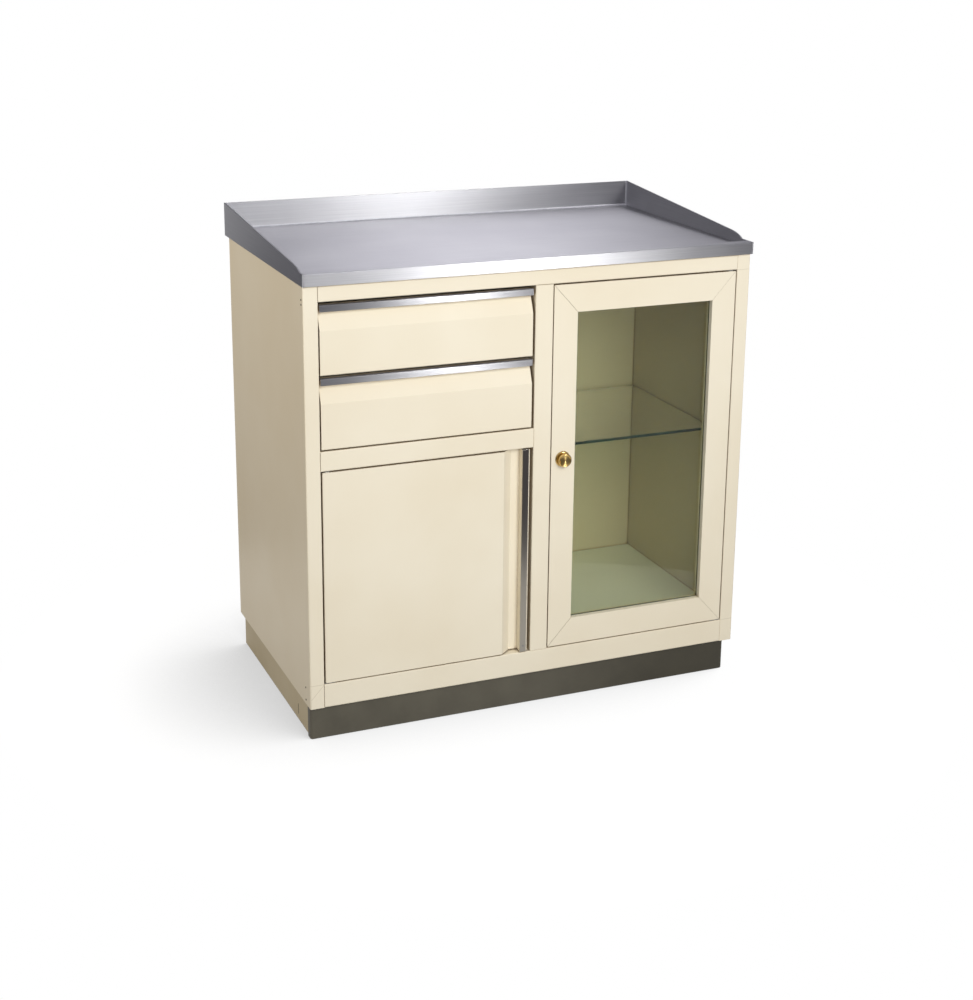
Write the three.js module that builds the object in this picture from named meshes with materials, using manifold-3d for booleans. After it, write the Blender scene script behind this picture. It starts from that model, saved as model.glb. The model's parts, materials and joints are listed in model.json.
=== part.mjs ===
// A clinic base cabinet in folded enamelled steel: two drawers over a flush door on the left, a glazed
// door over a glass shelf on the right, a stainless tray worktop and a recessed plinth.
// Millimetres. X runs to the right, Y to the back, Z up. While it is built, y = 0 is the front of the
// face frame and z = 0 the floor; the finished group is centred on its own bounding box.

import * as THREE from 'three';
import { mergeVertices } from 'three/addons/utils/BufferGeometryUtils.js';
import Module from 'manifold-3d';

const wasm = await Module();
wasm.setup();

// Body
const BODY_WIDTH = 914;
const BODY_DEPTH = 514;
const BODY_HEIGHT = 818;
const SHEET = 1.5;
const BEND_RADIUS = 2.5;
const BEND_STEPS = 3;
const SIDE_BACK_FLANGE = 15;
const SIDE_BASE_FLANGE = 40;
const BACK_PANEL_INSET = 40;
const PANEL_FLANGE = 15;

// Face frame
const STILE_WIDTH = 28.5;
const STILE_RETURN = 25;
const TOP_RAIL_HEIGHT = 30.5;
const MID_RAIL_HEIGHT = 38.5;
const BOTTOM_RAIL_HEIGHT = 48;
const RAIL_RETURN = 40;
const CENTRE_STILE_WIDTH = 37;
const LEFT_BAY_WIDTH = 425;
const DRAWER_BAY_HEIGHT = 278.5;

// Worktop
const TOP_SIDE_OVERHANG = 2;
const TOP_FRONT_OVERHANG = 6;
const TOP_BACK_OVERHANG = 24;
const APRON_HEIGHT = 23.5;
const DECK_DROP = 10.5;
const RIM_WIDTH = 22;
const RIM_SLOPE = 6;
const SPLASH_HEIGHT = 67;
const SPLASH_THICKNESS = 3;
const SPLASH_TAPER = 0.07;
const LEFT_NOSE_START = 12;
const RIGHT_NOSE_START = 36;
const SPLASH_NOSE_LENGTH = 46;
const SPLASH_NOSE_FULLNESS = 0.7;

// Plinth
const PLINTH_HEIGHT = 66;
const PLINTH_FLANGE = 25;
const PLINTH_FRONT_INSET = 12;
const PLINTH_BACK_INSET = 20;
const PLINTH_LEFT_INSET = 5;
const PLINTH_RIGHT_INSET = 17;
const KICK_THICKNESS = 3;
const KICK_WRAP = 14;
const KICK_CORNER = 5;
const KICK_CLEARANCE = 0.5;

// Doors and drawer fronts
const FRONT_THICKNESS = 22;
const FRONT_GAP = 2.4;
const HINGE_GAP = 2.5;
const GLASS_LATCH_GAP = 1.2;
const LATCH_GAP = 6.5;
const DRAWER_LEFT_GAP = 2;
const DRAWER_RIGHT_GAP = 5;
const DRAWER_TOP_GAP = 7;
const LOWER_DRAWER_HEIGHT = 133;
const DRAWER_RECESS_DEPTH = 14;
const DRAWER_RECESS_SLOPE = 36;
const DOOR_RECESS_DEPTH = 18;
const DOOR_RECESS_FLAT = 18;
const DOOR_RECESS_SLOPE = 21;
const DRAWER_LIP_WIDTH = 10;
const DOOR_LIP_WIDTH = 12;
const DOOR_LIP_EDGE = 3;
const TRIM_THICKNESS = 1.25;
const TRIM_HOOK = 1;
const TRIM_RETURN = 8;

// Drawers
const TRAY_SIDE_CLEARANCE = 13;
const TRAY_DEPTH = 430;
const TRAY_HEIGHT = 100;
const TRAY_LIFT = 8;
const INNER_HEAD_MARGIN = 2;
const RAIL_WIDTH = 8;
const RAIL_HEIGHT = 26;
const RAIL_LIFT = 30;
const RUNNER_CLEARANCE = 0.5;
const RUNNER_LIP_CLEARANCE = 1.5;
const RUNNER_END_GAP = 4;
const BRACKET_LENGTH = 24;
const BRACKET_FOOT = 12;
const BRACKET_INSET = 40;

// Glazed door
const DOOR_STILE_WIDTH = 50;
const DOOR_RAIL_WIDTH = 55;
const GLASS_SETBACK = 12;
const GLASS_THICKNESS = 4;
const REBATE = 10;
const GLASS_EDGE_CLEARANCE = 2;
const BEAD_CLEARANCE = 0.5;
const MITRE_GAP = 0.25;
const KNOB_REACH = 15;
const KNOB_DIAMETER = 27;
const KNOB_HEAD_LENGTH = 9;
const KNOB_NECK_DIAMETER = 13;
const KNOB_FOOT_DIAMETER = 16;
const KNOB_FOOT_LENGTH = 2.5;
const KNOB_DISH_DIAMETER = 15;
const KNOB_DISH_DEPTH = 1;
const KNOB_STEPS = 12;
const ROSETTE_DIAMETER = 31;
const ROSETTE_THICKNESS = 2.5;
const ROSETTE_CHAMFER = 1.25;
const KNOB_SIDE_INSET = 24;
const KNOB_HEIGHT = 507;

// Pivots and catches
const PIVOT_EDGE = 10;
const PIVOT_SETBACK = 6;
const PIN_DIAMETER = 5;
const PIN_DEPTH = 8;
const SHOULDER_DIAMETER = 7;
const RUNNING_CLEARANCE = 0.3;
const BUSH_DIAMETER = 9;
const BUSH_DEPTH = 10;
const BUSH_FLANGE_DIAMETER = 10.5;
const BUSH_FLANGE_THICKNESS = 1;
const PIVOT_PLATE = 1.25;
const PIVOT_PLATE_WIDTH = 22;
const PIVOT_PLATE_DEPTH = 30;
const PIVOT_PLATE_SETBACK = 2;
const CATCH_WIDTH = 40;
const CATCH_DEPTH = 15;
const CATCH_HEIGHT = 14;
const CATCH_INSET = 18;

// Glass shelf
const SHELF_THICKNESS = 6;
const SHELF_TOP = 498;
const SHELF_FRONT_INSET = 117;
const SHELF_BACK_GAP = 6;
const SHELF_SIDE_GAP = 2.5;
const CLIP_LENGTH = 20;
const CLIP_LEDGE = 14;
const CLIP_RISE = 12;
const CLIP_THICKNESS = 2;
const CLIP_INSET = 26;

const ROUND_SIDES = 32;
const PIN_SIDES = 20;

// Levels and faces worked out from the sizes above
const BODY_BOTTOM = PLINTH_HEIGHT;
const BODY_TOP = BODY_BOTTOM + BODY_HEIGHT;
const SIDE = BODY_WIDTH / 2;
const INNER_SIDE = SIDE - SHEET;
const BACK_FACE = BODY_DEPTH - BACK_PANEL_INSET;
const BAY_LEFT = -SIDE + STILE_WIDTH;
const BAY_SPLIT = BAY_LEFT + LEFT_BAY_WIDTH;
const RIGHT_BAY_LEFT = BAY_SPLIT + CENTRE_STILE_WIDTH;
const BAY_RIGHT = SIDE - STILE_WIDTH;
const OPENING_TOP = BODY_TOP - TOP_RAIL_HEIGHT;
const OPENING_BOTTOM = BODY_BOTTOM + BOTTOM_RAIL_HEIGHT;
const MID_RAIL_TOP = OPENING_TOP - DRAWER_BAY_HEIGHT;
const MID_RAIL_BOTTOM = MID_RAIL_TOP - MID_RAIL_HEIGHT;
const PARTITION_LEFT = (BAY_SPLIT + RIGHT_BAY_LEFT - SHEET) / 2;
const PARTITION_RIGHT = PARTITION_LEFT + SHEET;
const TOP_SIDE = SIDE + TOP_SIDE_OVERHANG;
const TOP_BACK = BODY_DEPTH + TOP_BACK_OVERHANG;
const RIM_TOP = BODY_TOP + APRON_HEIGHT;
const DECK_TOP = RIM_TOP - DECK_DROP;
const SPLASH_TOP = BODY_TOP + SPLASH_HEIGHT;

function finish(color, roughness, metalness, extra = {}) {
  return new THREE.MeshStandardMaterial({ color, roughness, metalness, ...extra });
}

const enamel = finish('#efe6d2', 0.45, 0.0);
const stainless = finish('#b4b4b8', 0.35, 1.0);
const plated = finish('#a8a9aa', 0.4, 1.0);
const brass = finish('#b08a3c', 0.25, 1.0);
const glass = finish('#cfe0d4', 0.05, 0.0, { transparent: true, opacity: 0.35 });
const vinyl = finish('#555046', 0.6, 0.0);
const board = finish('#a98a62', 0.8, 0.0);
const nylon = finish('#d8d5cb', 0.55, 0.0);

const X_AXIS = new THREE.Vector3(1, 0, 0);
const Y_AXIS = new THREE.Vector3(0, 1, 0);
const Z_AXIS = new THREE.Vector3(0, 0, 1);

function extruded(shape, length, basis) {
  const geometry = new THREE.ExtrudeGeometry(shape, { depth: length, bevelEnabled: false });
  return geometry.applyMatrix4(basis);
}

// A section drawn as (y, z) and run along X.
function alongX(shape, from, to) {
  const basis = new THREE.Matrix4().makeBasis(Y_AXIS, Z_AXIS, X_AXIS);
  return extruded(shape, to - from, basis).translate(from, 0, 0);
}

// An outline drawn as (x, z) and given its thickness along Y.
function alongY(shape, from, to) {
  const basis = new THREE.Matrix4().makeBasis(X_AXIS, Z_AXIS, Y_AXIS.clone().negate());
  return extruded(shape, to - from, basis).translate(0, to, 0);
}

// A plan drawn as (x, y) and run up Z.
function alongZ(shape, from, to) {
  return extruded(shape, to - from, new THREE.Matrix4()).translate(0, 0, from);
}

function outline(points) {
  return new THREE.Shape(points.map(([u, v]) => new THREE.Vector2(u, v)));
}

function rectangle(u0, v0, u1, v1) {
  return outline([[u0, v0], [u1, v0], [u1, v1], [u0, v1]]);
}

function mirrored(path) {
  return path.map(([u, v]) => [-u, v]).reverse();
}

function leftNormal(from, to) {
  const along = to.clone().sub(from).normalize();
  return new THREE.Vector2(-along.y, along.x);
}

// The path moved sideways by the sheet's thickness, mitred at each fold.
function offsetLeft(points, distance) {
  return points.map((point, i) => {
    const before = i > 0 ? leftNormal(points[i - 1], point) : null;
    const after = i < points.length - 1 ? leftNormal(point, points[i + 1]) : null;
    if (!before || !after) {
      return point.clone().addScaledVector(before ?? after, distance);
    }
    const mitre = before.clone().add(after);
    return point.clone().addScaledVector(mitre, distance / (1 + before.dot(after)));
  });
}

// The path with each fold drawn as an arc of one radius where it turns left and another where it turns right.
function withBends(points, leftRadius, rightRadius) {
  return points.flatMap((point, i) => {
    if (i === 0 || i === points.length - 1) {
      return [point];
    }
    const before = leftNormal(points[i - 1], point);
    const after = leftNormal(point, points[i + 1]);
    const turn = Math.atan2(before.cross(after), before.dot(after));
    const radius = turn > 0 ? leftRadius : rightRadius;
    if (radius === 0) {
      return [point];
    }
    const trimmed = radius * Math.tan(Math.abs(turn) / 2);
    const backwards = new THREE.Vector2(-before.y, before.x);
    const start = point.clone().addScaledVector(backwards, trimmed);
    const centre = start.clone().addScaledVector(before, Math.sign(turn) * radius);
    const steps = Array.from({ length: BEND_STEPS + 1 }, (_, k) => (turn * k) / BEND_STEPS);
    return steps.map((angle) => start.clone().rotateAround(centre, angle));
  });
}

// A folded sheet seen end on: the path is its outer face, and the metal lies on the path's left.
function folded(path, thickness = SHEET, bend = BEND_RADIUS) {
  const face = path.map(([u, v]) => new THREE.Vector2(u, v));
  const inner = Math.max(bend - thickness, 0);
  const front = withBends(face, bend, inner);
  const back = withBends(offsetLeft(face, thickness), inner, bend);
  return new THREE.Shape([...front, ...back.reverse()]);
}

// The plate that closes a formed sheet's end: everything behind the middle of the sheet.
function endPlate(path) {
  const face = path.map(([u, v]) => new THREE.Vector2(u, v));
  const middle = offsetLeft(face, SHEET / 2);
  const bend = Math.max(BEND_RADIUS - SHEET / 2, 0);
  return new THREE.Shape(withBends(middle, bend, bend));
}

// A folded channel: a web between two flanges, with the metal on the left of the path.
function channel(webStart, webEnd, flangeTip) {
  const [u, v0] = webStart;
  const [, v1] = webEnd;
  return folded([[flangeTip, v0], [u, v0], [u, v1], [flangeTip, v1]]);
}

function solid(geometry) {
  const bare = new THREE.BufferGeometry();
  bare.setAttribute('position', geometry.getAttribute('position'));
  bare.setIndex(geometry.getIndex());
  const merged = mergeVertices(bare);
  return new wasm.Manifold(new wasm.Mesh({
    numProp: 3,
    vertProperties: new Float32Array(merged.getAttribute('position').array),
    triVerts: new Uint32Array(merged.getIndex().array),
  }));
}

function geometryOf(body) {
  const { vertProperties, triVerts } = body.getMesh();
  const geometry = new THREE.BufferGeometry();
  geometry.setAttribute('position', new THREE.BufferAttribute(new Float32Array(vertProperties), 3));
  geometry.setIndex(new THREE.BufferAttribute(new Uint32Array(triVerts), 1));
  const faceted = geometry.toNonIndexed();
  faceted.computeVertexNormals();
  return faceted;
}

function joined(...geometries) {
  return geometryOf(geometries.map(solid).reduce((whole, piece) => whole.add(piece)));
}

function cut(geometry, ...cutters) {
  return geometryOf(cutters.map(solid).reduce((whole, cutter) => whole.subtract(cutter), solid(geometry)));
}

function block(x0, x1, y0, y1, z0, z1) {
  const geometry = new THREE.BoxGeometry(x1 - x0, y1 - y0, z1 - z0);
  return geometry.translate((x0 + x1) / 2, (y0 + y1) / 2, (z0 + z1) / 2);
}

// A round bar standing on Z, from one level to another.
function upright(radius, x, y, from, to, sides = PIN_SIDES) {
  const geometry = new THREE.CylinderGeometry(radius, radius, to - from, sides);
  return geometry.rotateX(Math.PI / 2).translate(x, y, (from + to) / 2);
}

function piece(name, geometry, material) {
  const mesh = new THREE.Mesh(geometry, material);
  mesh.name = name;
  return mesh;
}

// Sides, face frame and inner sheets

function sidePanel(name, plan, flangeFrom, flangeTo) {
  const wall = alongZ(folded(plan), BODY_BOTTOM, BODY_TOP);
  const foot = block(
    flangeFrom, flangeTo, RAIL_RETURN + SHEET, BACK_FACE - SHEET, BODY_BOTTOM, BODY_BOTTOM + SHEET,
  );
  return piece(name, joined(wall, foot), enamel);
}

function sidePanels() {
  const plan = [
    [-SIDE + SIDE_BACK_FLANGE, BODY_DEPTH],
    [-SIDE, BODY_DEPTH],
    [-SIDE, 0],
    [BAY_LEFT, 0],
    [BAY_LEFT, STILE_RETURN],
  ];
  const overlap = SHEET / 2;
  return [
    sidePanel('left_side_panel', plan, -SIDE + overlap, -INNER_SIDE + SIDE_BASE_FLANGE),
    sidePanel('right_side_panel', mirrored(plan), INNER_SIDE - SIDE_BASE_FLANGE, SIDE - overlap),
  ];
}

function rail(name, top, bottom, left, right) {
  return piece(name, alongX(channel([0, top], [0, bottom], RAIL_RETURN), left, right), enamel);
}

function faceFrame() {
  const stilePlan = [
    [BAY_SPLIT, STILE_RETURN],
    [BAY_SPLIT, 0],
    [RIGHT_BAY_LEFT, 0],
    [RIGHT_BAY_LEFT, STILE_RETURN],
  ];
  return [
    rail('top_rail', BODY_TOP, OPENING_TOP, BAY_LEFT, BAY_RIGHT),
    rail('mid_rail', MID_RAIL_TOP, MID_RAIL_BOTTOM, BAY_LEFT, BAY_SPLIT),
    rail('bottom_rail', OPENING_BOTTOM, BODY_BOTTOM, BAY_LEFT, BAY_RIGHT),
    piece('centre_stile', alongZ(folded(stilePlan), OPENING_BOTTOM, OPENING_TOP), enamel),
  ];
}

// A shelf of sheet with its front and back edges turned down.
function shelfSheet(top) {
  return folded([
    [BACK_FACE, top - PANEL_FLANGE],
    [BACK_FACE, top],
    [RAIL_RETURN, top],
    [RAIL_RETURN, top - PANEL_FLANGE],
  ]);
}

function innerSheets() {
  const notch = RAIL_RETURN + SHEET;
  const partition = outline([
    [STILE_RETURN, OPENING_BOTTOM],
    [BACK_FACE, OPENING_BOTTOM],
    [BACK_FACE, BODY_TOP],
    [notch, BODY_TOP],
    [notch, OPENING_TOP],
    [STILE_RETURN, OPENING_TOP],
  ]);
  const backPlan = [
    [-INNER_SIDE, BACK_FACE + PANEL_FLANGE],
    [-INNER_SIDE, BACK_FACE],
    [INNER_SIDE, BACK_FACE],
    [INNER_SIDE, BACK_FACE + PANEL_FLANGE],
  ];
  return [
    piece('centre_partition', alongX(partition, PARTITION_LEFT, PARTITION_RIGHT), enamel),
    piece('back_panel', alongZ(folded(backPlan), BODY_BOTTOM, BODY_TOP), enamel),
    piece('floor_panel', alongX(shelfSheet(OPENING_BOTTOM), -INNER_SIDE, INNER_SIDE), enamel),
    piece('dust_panel', alongX(shelfSheet(MID_RAIL_TOP), -INNER_SIDE, PARTITION_LEFT), enamel),
  ];
}

// Worktop

// The side splash falls gently towards the front, then rounds down to the rim at its own place on each side.
function sideSplashOutline(noseStart) {
  const noseTop = noseStart + SPLASH_NOSE_LENGTH;
  const noseHeight = SPLASH_TOP - SPLASH_TAPER * (TOP_BACK - noseTop);
  const pull = SPLASH_NOSE_LENGTH * SPLASH_NOSE_FULLNESS;
  const shape = new THREE.Shape();
  shape.moveTo(-TOP_FRONT_OVERHANG, BODY_TOP);
  shape.lineTo(TOP_BACK, BODY_TOP);
  shape.lineTo(TOP_BACK, SPLASH_TOP);
  shape.lineTo(noseTop, noseHeight);
  shape.quadraticCurveTo(noseTop - pull, noseHeight - SPLASH_TAPER * pull, noseStart, RIM_TOP);
  shape.lineTo(-TOP_FRONT_OVERHANG, RIM_TOP);
  return shape;
}

function worktop() {
  const inner = TOP_SIDE - SPLASH_THICKNESS;
  const splashFace = TOP_BACK - SPLASH_THICKNESS;
  const front = -TOP_FRONT_OVERHANG;
  const rimBack = front + RIM_WIDTH;
  const deckSection = folded([
    [splashFace + SHEET, DECK_TOP],
    [rimBack + RIM_SLOPE, DECK_TOP],
    [rimBack, RIM_TOP],
    [front, RIM_TOP],
    [front, BODY_TOP],
  ]);
  const deck = joined(
    alongX(deckSection, -inner, inner),
    block(-inner, inner, splashFace, TOP_BACK, BODY_TOP, SPLASH_TOP),
  );
  const core = block(-inner, inner, front + SHEET, splashFace, BODY_TOP, DECK_TOP - SHEET);
  return [
    piece('worktop_core', core, board),
    piece('worktop_deck', deck, stainless),
    piece('left_side_splash', alongX(sideSplashOutline(LEFT_NOSE_START), -TOP_SIDE, -inner), stainless),
    piece('right_side_splash', alongX(sideSplashOutline(RIGHT_NOSE_START), inner, TOP_SIDE), stainless),
  ];
}

// Plinth

function plinth() {
  const front = PLINTH_FRONT_INSET;
  const back = BODY_DEPTH - PLINTH_BACK_INSET;
  const left = -SIDE + PLINTH_LEFT_INSET;
  const right = SIDE - PLINTH_RIGHT_INSET;
  const height = PLINTH_HEIGHT;
  const frontWeb = channel([front, height], [front, 0], front + PLINTH_FLANGE);
  const backWeb = channel([back, 0], [back, height], back - PLINTH_FLANGE);
  const leftWeb = channel([left, height], [left, 0], left + PLINTH_FLANGE);
  const rightWeb = channel([right, 0], [right, height], right - PLINTH_FLANGE);
  const kickPlan = folded([
    [left - KICK_THICKNESS, front + KICK_WRAP],
    [left - KICK_THICKNESS, front - KICK_THICKNESS],
    [right + KICK_THICKNESS, front - KICK_THICKNESS],
    [right + KICK_THICKNESS, front + KICK_WRAP],
  ], KICK_THICKNESS, KICK_CORNER);
  const between = [left + PLINTH_FLANGE, right - PLINTH_FLANGE];
  const sideStart = front + Math.max(KICK_CORNER - KICK_THICKNESS, 0);
  return [
    piece('plinth_front', alongX(frontWeb, ...between), enamel),
    piece('plinth_back', alongX(backWeb, ...between), enamel),
    piece('plinth_left', alongY(leftWeb, sideStart, back), enamel),
    piece('plinth_right', alongY(rightWeb, sideStart, back), enamel),
    piece('kick_strip', alongZ(kickPlan, KICK_CLEARANCE, height - KICK_CLEARANCE), vinyl),
  ];
}

// Drawers

// The formed front seen end on, as (depth, height): lip, finger recess and flat face. The recess is a
// list of (depth, distance below the lip).
function frontPath(size, lip, recess) {
  const lipStart = size - lip;
  return [
    [FRONT_THICKNESS, size],
    [0, size],
    [0, lipStart],
    ...recess.map(([depth, drop]) => [depth, lipStart - drop]),
    [0, 0],
    [FRONT_THICKNESS, 0],
  ];
}

function drawer(name, bottom, height) {
  const group = new THREE.Group();
  group.position.set((BAY_LEFT + BAY_SPLIT) / 2, 0, bottom);
  const left = DRAWER_LEFT_GAP - LEFT_BAY_WIDTH / 2;
  const right = LEFT_BAY_WIDTH / 2 - DRAWER_RIGHT_GAP;
  const trayHalf = LEFT_BAY_WIDTH / 2 - TRAY_SIDE_CLEARANCE;
  const path = frontPath(height, DRAWER_LIP_WIDTH, [[DRAWER_RECESS_DEPTH, 0], [0, DRAWER_RECESS_SLOPE]]);
  const front = joined(
    alongX(folded(path), left, right),
    alongX(endPlate(path), left, left + SHEET),
    alongX(endPlate(path), right - SHEET, right),
  );
  const trimSection = folded([
    [TRIM_RETURN, height + TRIM_THICKNESS],
    [-TRIM_THICKNESS, height + TRIM_THICKNESS],
    [-TRIM_THICKNESS, height - DRAWER_LIP_WIDTH - TRIM_HOOK],
  ], TRIM_THICKNESS, TRIM_THICKNESS);
  const headBack = FRONT_THICKNESS + SHEET;
  const head = block(
    left + INNER_HEAD_MARGIN, right - INNER_HEAD_MARGIN, FRONT_THICKNESS, headBack,
    INNER_HEAD_MARGIN, height - INNER_HEAD_MARGIN,
  );
  const trayBack = FRONT_THICKNESS + TRAY_DEPTH;
  const trayTop = TRAY_LIFT + TRAY_HEIGHT;
  const shell = block(-trayHalf, trayHalf, FRONT_THICKNESS, trayBack, TRAY_LIFT, trayTop);
  const hollow = block(
    -trayHalf + SHEET, trayHalf - SHEET, headBack, trayBack - SHEET, TRAY_LIFT + SHEET, trayTop + SHEET,
  );
  const railBottom = TRAY_LIFT + RAIL_LIFT;
  const railEnds = [headBack, trayBack];
  const rails = [-1, 1].map((side) => {
    const faces = [side * trayHalf, side * (trayHalf + RAIL_WIDTH)].sort((a, b) => a - b);
    const bar = block(...faces, ...railEnds, railBottom, railBottom + RAIL_HEIGHT);
    return piece(`${name}_${side < 0 ? 'left' : 'right'}_rail`, bar, plated);
  });
  group.add(
    piece(`${name}_front`, front, enamel),
    piece(`${name}_trim`, alongX(trimSection, left, right), stainless),
    piece(`${name}_tray`, joined(cut(shell, hollow), head), enamel),
    ...rails,
  );
  return group;
}

// A fixed channel that a drawer rail runs in, with two hat brackets that stand it off the wall.
function runner(name, side, wall, drawerBottom) {
  const trayHalf = LEFT_BAY_WIDTH / 2 - TRAY_SIDE_CLEARANCE;
  const centre = (BAY_LEFT + BAY_SPLIT) / 2;
  const mouth = trayHalf + RUNNER_LIP_CLEARANCE;
  const web = trayHalf + RAIL_WIDTH + RUNNER_CLEARANCE + SHEET;
  const low = drawerBottom + TRAY_LIFT + RAIL_LIFT - RUNNER_CLEARANCE - SHEET;
  const high = low + RAIL_HEIGHT + 2 * (RUNNER_CLEARANCE + SHEET);
  const section = [[mouth, low], [web, low], [web, high], [mouth, high]];
  const placed = (path) => (side < 0 ? mirrored(path) : path).map(([u, v]) => [u + centre, v]);
  const start = FRONT_THICKNESS + RUNNER_END_GAP;
  const end = BACK_FACE - RUNNER_END_GAP;
  const run = alongY(folded(placed(section)), start, end);
  const standOff = side * (wall - centre);
  const hat = (at) => {
    const footA = at - BRACKET_FOOT;
    const footB = at + BRACKET_LENGTH + BRACKET_FOOT;
    const top = web + SHEET / 2;
    const plan = [
      [standOff, footA], [standOff, at], [top, at],
      [top, at + BRACKET_LENGTH], [standOff, at + BRACKET_LENGTH], [standOff, footB],
    ];
    return alongZ(folded(placed(plan)), low, high);
  };
  const hats = [start + BRACKET_INSET, end - BRACKET_INSET - BRACKET_LENGTH].map(hat);
  return piece(name, joined(run, ...hats), plated);
}

// Doors

// The sleeve that a door turns on, standing on Z, flange uppermost.
function bushProfile() {
  const bore = PIN_DIAMETER / 2 + RUNNING_CLEARANCE;
  const points = [
    [bore, -BUSH_DEPTH],
    [BUSH_DIAMETER / 2, -BUSH_DEPTH],
    [BUSH_DIAMETER / 2, 0],
    [BUSH_FLANGE_DIAMETER / 2, 0],
    [BUSH_FLANGE_DIAMETER / 2, BUSH_FLANGE_THICKNESS],
    [bore, BUSH_FLANGE_THICKNESS],
    [bore, -BUSH_DEPTH],
  ];
  return points.map(([r, z]) => new THREE.Vector2(r, z));
}

function bush(name, x, edge, up) {
  const sleeve = new THREE.LatheGeometry(bushProfile(), PIN_SIDES).rotateX((up * Math.PI) / 2);
  const mesh = piece(name, sleeve, nylon);
  mesh.position.set(x, PIVOT_SETBACK, edge);
  return mesh;
}

function bushHole(x, edge, up) {
  const radius = BUSH_DIAMETER / 2 + RUNNING_CLEARANCE;
  const depth = BUSH_DEPTH + RUNNING_CLEARANCE;
  const [low, high] = [edge - up * depth, edge + up * BUSH_FLANGE_THICKNESS].sort((a, b) => a - b);
  return upright(radius, x, PIVOT_SETBACK, low, high);
}

// The plate and pin in the gap above or below a door: up is 1 under the door and -1 over it.
function pivotBracket(name, x, level, up, side) {
  const reach = PIVOT_PLATE_WIDTH - PIVOT_EDGE - HINGE_GAP;
  const jamb = x + side * (PIVOT_EDGE + HINGE_GAP);
  const [left, right] = [jamb, x - side * reach].sort((a, b) => a - b);
  const back = PIVOT_PLATE_SETBACK + PIVOT_PLATE_DEPTH;
  const span = (a, b) => [level + up * a, level + up * b].sort((p, q) => p - q);
  const plate = block(left, right, PIVOT_PLATE_SETBACK, back, ...span(0, PIVOT_PLATE));
  const pin = upright(PIN_DIAMETER / 2, x, PIVOT_SETBACK, ...span(PIVOT_PLATE / 2, FRONT_GAP + PIN_DEPTH));
  const shoulderTop = FRONT_GAP - BUSH_FLANGE_THICKNESS - RUNNING_CLEARANCE;
  const shoulder = upright(SHOULDER_DIAMETER / 2, x, PIVOT_SETBACK, ...span(PIVOT_PLATE / 2, shoulderTop));
  return piece(name, joined(plate, shoulder, pin), plated);
}

function solidDoor() {
  const group = new THREE.Group();
  group.position.set(BAY_LEFT + HINGE_GAP, 0, OPENING_BOTTOM + FRONT_GAP);
  const width = LEFT_BAY_WIDTH - HINGE_GAP - LATCH_GAP;
  const height = MID_RAIL_BOTTOM - OPENING_BOTTOM - 2 * FRONT_GAP;
  const lip = DOOR_LIP_WIDTH + DOOR_LIP_EDGE;
  const path = frontPath(width, lip, [
    [DOOR_RECESS_DEPTH, 0],
    [DOOR_RECESS_DEPTH, DOOR_RECESS_FLAT],
    [0, DOOR_RECESS_FLAT + DOOR_RECESS_SLOPE],
  ]);
  const plan = path.map(([depth, across]) => [across, depth]).reverse();
  const pan = joined(
    alongZ(folded(plan), 0, height),
    alongZ(endPlate(plan), 0, SHEET),
    alongZ(endPlate(plan), height - SHEET, height),
  );
  const trimSection = folded([
    [TRIM_RETURN, height + TRIM_THICKNESS],
    [-TRIM_THICKNESS, height + TRIM_THICKNESS],
    [-TRIM_THICKNESS, -TRIM_THICKNESS],
    [TRIM_RETURN, -TRIM_THICKNESS],
  ], TRIM_THICKNESS, TRIM_THICKNESS);
  const trimLeft = width - lip - TRIM_HOOK;
  const inner = block(
    SHEET, width - SHEET, FRONT_THICKNESS - SHEET, FRONT_THICKNESS, SHEET, height - SHEET,
  );
  group.add(
    piece('solid_door_pan', cut(pan, bushHole(PIVOT_EDGE, 0, -1), bushHole(PIVOT_EDGE, height, 1)), enamel),
    piece('solid_door_inner', inner, enamel),
    piece('solid_door_trim', alongX(trimSection, trimLeft, width - DOOR_LIP_EDGE), stainless),
    bush('solid_door_lower_bush', PIVOT_EDGE, 0, -1),
    bush('solid_door_upper_bush', PIVOT_EDGE, height, 1),
  );
  return group;
}

// One mitred hollow member lying along X, its outer edge at z = 0, rebated behind for the glass.
function mitredBar(length, width, crossWidth) {
  const slope = crossWidth / width;
  const bar = (end, low, high, from, to) => alongY(outline([
    [end + low * slope, low],
    [length - end - low * slope, low],
    [length - end - high * slope, high],
    [end + high * slope, high],
  ]), from, to);
  const behind = width - REBATE;
  const shell = joined(
    bar(MITRE_GAP, 0, width, 0, GLASS_SETBACK),
    bar(MITRE_GAP, 0, behind, GLASS_SETBACK - SHEET, FRONT_THICKNESS),
  );
  return cut(
    shell,
    bar(-SHEET, SHEET, width - SHEET, SHEET, GLASS_SETBACK - SHEET),
    bar(-SHEET, SHEET, behind - SHEET, SHEET, FRONT_THICKNESS - SHEET),
  );
}

// A rounded head on a waisted neck, drawn as (radius, distance from the rosette), with a shallow dish.
function knobProfile() {
  const reach = KNOB_REACH - ROSETTE_THICKNESS;
  const head = KNOB_DIAMETER / 2;
  const neck = KNOB_NECK_DIAMETER / 2;
  const dish = KNOB_DISH_DIAMETER / 2;
  const half = KNOB_HEAD_LENGTH / 2;
  const first = Math.asin(neck / head);
  const last = Math.PI - Math.asin(dish / head);
  const centre = reach + half * Math.cos(last);
  const rounded = Array.from({ length: KNOB_STEPS + 1 }, (_, k) => {
    const angle = first + ((last - first) * k) / KNOB_STEPS;
    return new THREE.Vector2(head * Math.sin(angle), centre - half * Math.cos(angle));
  });
  return [
    new THREE.Vector2(0, 0),
    new THREE.Vector2(KNOB_FOOT_DIAMETER / 2, 0),
    new THREE.Vector2(neck, KNOB_FOOT_LENGTH),
    ...rounded,
    new THREE.Vector2(dish - KNOB_DISH_DEPTH, reach - KNOB_DISH_DEPTH),
    new THREE.Vector2(0, reach - KNOB_DISH_DEPTH),
  ];
}

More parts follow.
